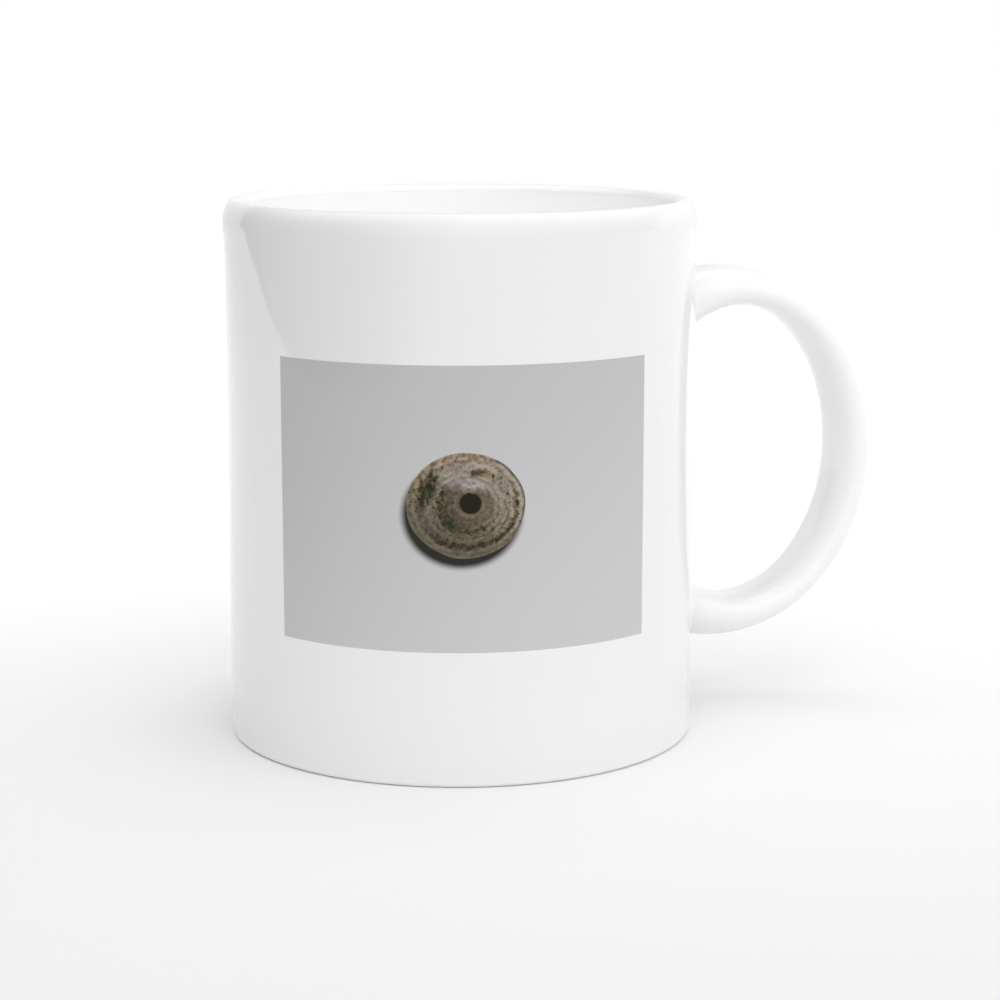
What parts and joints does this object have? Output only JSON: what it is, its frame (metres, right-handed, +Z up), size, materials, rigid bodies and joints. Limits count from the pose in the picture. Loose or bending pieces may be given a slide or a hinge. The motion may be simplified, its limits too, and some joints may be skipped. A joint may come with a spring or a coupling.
{
  "type": "ceramic mug",
  "caption": "Straight-sided white glazed ceramic mug with a rounded lip, a loop handle and a grey printed picture of a spindle whorl on one side.",
  "frame": {"origin": "centre of the flat underside, on the body's axis", "axes": "+Z up along the body's axis, +X from the body towards the handle; the middle of the printed panel is 17 degrees round from -Y towards -X"},
  "size_m": [0.1197, 0.082, 0.094],
  "materials": {
    "glaze": "white gloss glaze, with a gloss grey printed panel on the side that the record's axes text names, and a bare ring under the foot"
  },
  "bodies": {
    "root": {"mug": "glaze"}
  },
  "joints": []
}
